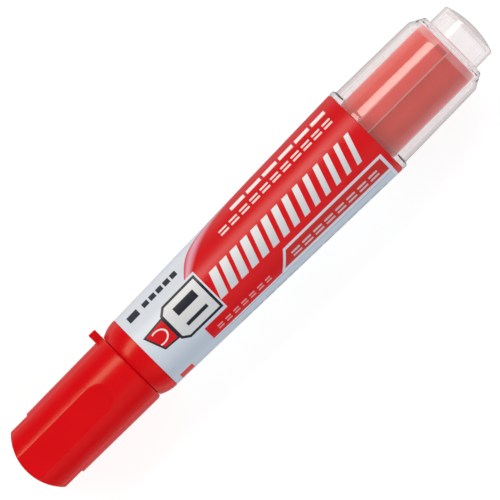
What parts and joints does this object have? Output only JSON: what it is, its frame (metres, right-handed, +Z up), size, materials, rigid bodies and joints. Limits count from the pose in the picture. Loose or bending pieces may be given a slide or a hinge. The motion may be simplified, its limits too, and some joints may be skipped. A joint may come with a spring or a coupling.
{
  "type": "whiteboard marker",
  "caption": "Refillable whiteboard marker with a flat nib, pull-off cap with a small anti-roll tab, tapered labelled barrel, and a clear tail plug that covers a replaceable ink cartridge.",
  "frame": {"origin": "on the surface the marker lies on, below the middle of its length and under its axis", "axes": "+X along the marker from the cap to the tail plug, +Y towards the cap's anti-roll tab, +Z up, square to the flat on the cap"},
  "size_m": [0.1324, 0.022, 0.022],
  "materials": {
    "red_plastic": "glossy moulded red plastic",
    "label_print": "glossy printed film, red with a silver-blue front panel",
    "clear_plastic": "clear moulded plastic",
    "cartridge_plastic": "translucent plastic, tinted by the red ink behind it",
    "white_plastic": "natural white moulded plastic",
    "liner_plastic": "soft milky plastic",
    "seal_rubber": "matte black rubber",
    "red_ink": "liquid red ink",
    "nib_felt": "bonded fibre soaked with red ink",
    "feed_fibre": "bundled fibre rod tinted by ink"
  },
  "bodies": {
    "barrel": {"barrel": "red_plastic", "barrel_label": "label_print", "nib": "nib_felt", "nib_holder": "white_plastic", "feed_rod": "feed_fibre", "ink_collector": "white_plastic", "connector": "white_plastic"},
    "cap": {"cap_shell": "red_plastic", "inner_cap": "liner_plastic"},
    "cartridge": {"cartridge_body": "cartridge_plastic", "cartridge_stopper": "white_plastic", "seal_ring": "seal_rubber", "seal_ball": "white_plastic", "ink_charge": "red_ink"},
    "plug": {"tail_plug": "clear_plastic"}
  },
  "joints": [
    {"name": "cap_pull", "type": "slide", "parent": "barrel", "child": "cap", "axis": [-1, 0, 0], "range_m": [0, 0.04]},
    {"name": "plug_pull", "type": "slide", "parent": "barrel", "child": "plug", "axis": [1, 0, 0], "range_m": [0, 0.1]},
    {"name": "cartridge_pull", "type": "slide", "parent": "barrel", "child": "cartridge", "axis": [1, 0, 0], "range_m": [0, 0.06]}
  ],
  "couplings": [
    {"joint": "cartridge_pull", "follows": "plug_pull", "ratio": 0.6}
  ]
}
